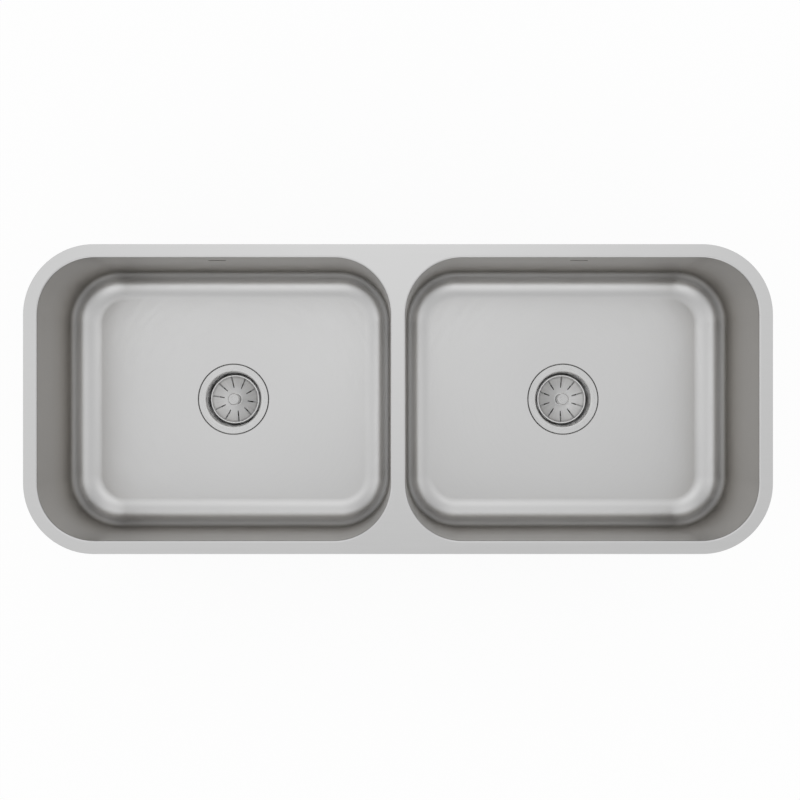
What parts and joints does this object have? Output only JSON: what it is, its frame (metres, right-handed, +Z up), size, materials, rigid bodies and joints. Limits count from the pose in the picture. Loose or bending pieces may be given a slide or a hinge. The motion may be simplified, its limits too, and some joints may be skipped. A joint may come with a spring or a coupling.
{
  "type": "double bowl kitchen sink",
  "caption": "Stainless kitchen sink with two deep bowls side by side in a flat round-cornered deck, basket strainer wastes and rear overflows.",
  "frame": {"origin": "middle of the deck's top face, on the bridge between the bowls", "axes": "+Z up out of the deck's top face, +X to the right along the deck's length, +Y to the back, where the overflows are"},
  "size_m": [1.06, 0.4385, 0.2932],
  "materials": {
    "brushed_stainless": "satin, fine straight grain on the deck",
    "polished_stainless": "polished",
    "fastener_steel": "turned",
    "brass": "turned",
    "white_plastic": "moulded, slightly rough",
    "seal_rubber": "matt",
    "pad_rubber": "matt"
  },
  "bodies": {
    "sink": {"deck_plate": "brushed_stainless", "left_bowl": "brushed_stainless", "left_floor_pad": "pad_rubber", "left_wall_pads": "pad_rubber", "left_strainer_cup": "polished_stainless", "left_flange_gasket": "seal_rubber", "left_body_gasket": "seal_rubber", "left_clamp_insert": "brass", "left_clamp_screw": "fastener_steel", "left_waste_body": "white_plastic", "left_waste_outlet": "white_plastic", "left_overflow_gasket": "seal_rubber", "left_overflow_housing": "white_plastic", "left_overflow_studs": "fastener_steel", "left_overflow_nuts": "fastener_steel", "left_overflow_pipe": "white_plastic", "left_pipe_seals": "seal_rubber", "left_slip_nut": "white_plastic", "right_bowl": "brushed_stainless", "right_floor_pad": "pad_rubber", "right_wall_pads": "pad_rubber", "right_strainer_cup": "polished_stainless", "right_flange_gasket": "seal_rubber", "right_body_gasket": "seal_rubber", "right_clamp_insert": "brass", "right_clamp_screw": "fastener_steel", "right_waste_body": "white_plastic", "right_waste_outlet": "white_plastic", "right_overflow_gasket": "seal_rubber", "right_overflow_housing": "white_plastic", "right_overflow_studs": "fastener_steel", "right_overflow_nuts": "fastener_steel", "right_overflow_pipe": "white_plastic", "right_pipe_seals": "seal_rubber", "right_slip_nut": "white_plastic"},
    "left_stopper": {"left_basket_stem": "fastener_steel", "left_stopper_seal": "seal_rubber"},
    "left_basket": {"left_basket": "polished_stainless", "left_basket_knob": "polished_stainless"},
    "right_stopper": {"right_basket_stem": "fastener_steel", "right_stopper_seal": "seal_rubber"},
    "right_basket": {"right_basket": "polished_stainless", "right_basket_knob": "polished_stainless"}
  },
  "joints": [
    {"name": "left_strainer_lift", "type": "slide", "parent": "sink", "child": "left_stopper", "axis": [0, 0, 1], "range_m": [0, 0.26]},
    {"name": "left_basket_turn", "type": "hinge", "parent": "left_stopper", "child": "left_basket", "pos_m": [-0.2605, 0, -0.2215], "axis": [0, 0, 1], "continuous": true},
    {"name": "right_strainer_lift", "type": "slide", "parent": "sink", "child": "right_stopper", "axis": [0, 0, 1], "range_m": [0, 0.26]},
    {"name": "right_basket_turn", "type": "hinge", "parent": "right_stopper", "child": "right_basket", "pos_m": [0.2605, 0, -0.2215], "axis": [0, 0, 1], "continuous": true}
  ]
}
